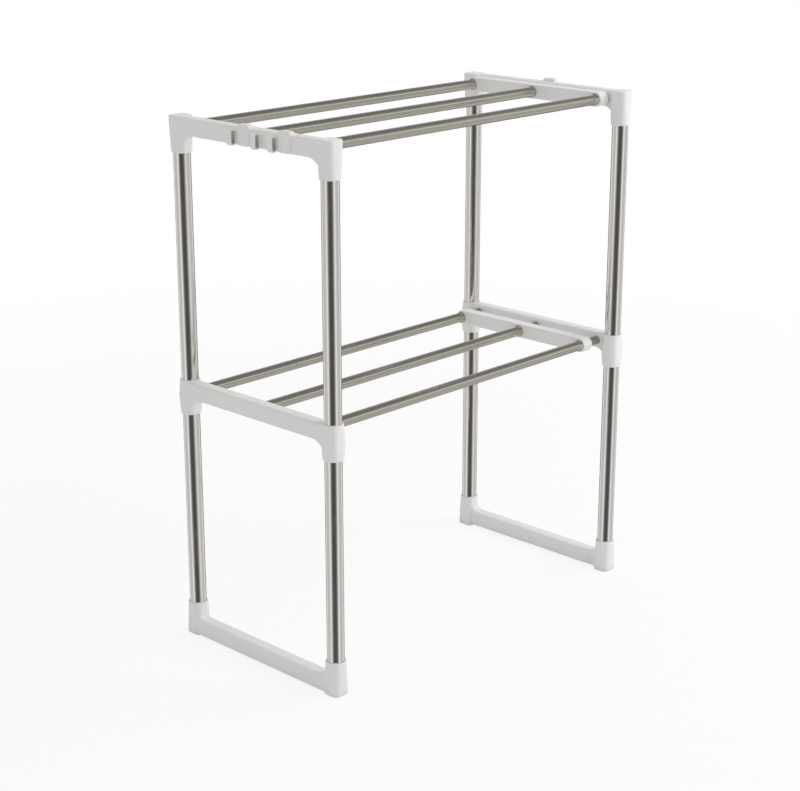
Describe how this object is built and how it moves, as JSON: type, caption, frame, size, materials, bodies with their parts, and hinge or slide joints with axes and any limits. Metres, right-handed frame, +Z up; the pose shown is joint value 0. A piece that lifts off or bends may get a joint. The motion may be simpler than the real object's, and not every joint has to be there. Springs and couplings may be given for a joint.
{
  "type": "microwave stand",
  "caption": "Free-standing kitchen rack with tube shelves on two levels; white moulded end frames on polished steel legs pull apart on telescoping tubes to lengthen it.",
  "frame": {"origin": "on the floor, under the middle of the footprint of the pushed-together rack", "axes": "+X along the rack towards the end that pulls out, +Y from the front to the back, +Z up"},
  "size_m": [0.5102, 0.25, 0.605],
  "materials": {
    "white_plastic": "satin",
    "polished_steel": "polished",
    "inner_steel": "satin",
    "natural_nylon": "matte"
  },
  "bodies": {
    "left_frame": {"top_bracket_left": "white_plastic", "middle_bracket_left": "white_plastic", "foot_bracket_left": "white_plastic", "upper_leg_left_front": "polished_steel", "lower_leg_left_front": "polished_steel", "upper_leg_left_back": "polished_steel", "lower_leg_left_back": "polished_steel", "outer_tube_top_front": "polished_steel", "outer_tube_top_centre": "polished_steel", "outer_tube_top_back": "polished_steel", "bridge_bar_top": "white_plastic", "outer_tube_middle_front": "polished_steel", "outer_tube_middle_centre": "polished_steel", "outer_tube_middle_back": "polished_steel", "bridge_bar_middle": "white_plastic", "hook_left_1": "white_plastic", "hook_left_2": "white_plastic", "hook_left_3": "white_plastic"},
    "right_frame": {"top_bracket_right": "white_plastic", "middle_bracket_right": "white_plastic", "foot_bracket_right": "white_plastic", "upper_leg_right_front": "polished_steel", "lower_leg_right_front": "polished_steel", "upper_leg_right_back": "polished_steel", "lower_leg_right_back": "polished_steel", "inner_tube_top_front": "inner_steel", "glide_plug_top_front": "natural_nylon", "inner_tube_top_centre": "inner_steel", "glide_plug_top_centre": "natural_nylon", "inner_tube_top_back": "inner_steel", "glide_plug_top_back": "natural_nylon", "inner_tube_middle_front": "inner_steel", "glide_plug_middle_front": "natural_nylon", "inner_tube_middle_centre": "inner_steel", "glide_plug_middle_centre": "natural_nylon", "inner_tube_middle_back": "inner_steel", "glide_plug_middle_back": "natural_nylon", "hook_right_1": "white_plastic", "hook_right_2": "white_plastic", "hook_right_3": "white_plastic"}
  },
  "joints": [
    {"name": "frame_slide", "type": "slide", "parent": "left_frame", "child": "right_frame", "axis": [1, 0, 0], "range_m": [0, 0.355]}
  ]
}
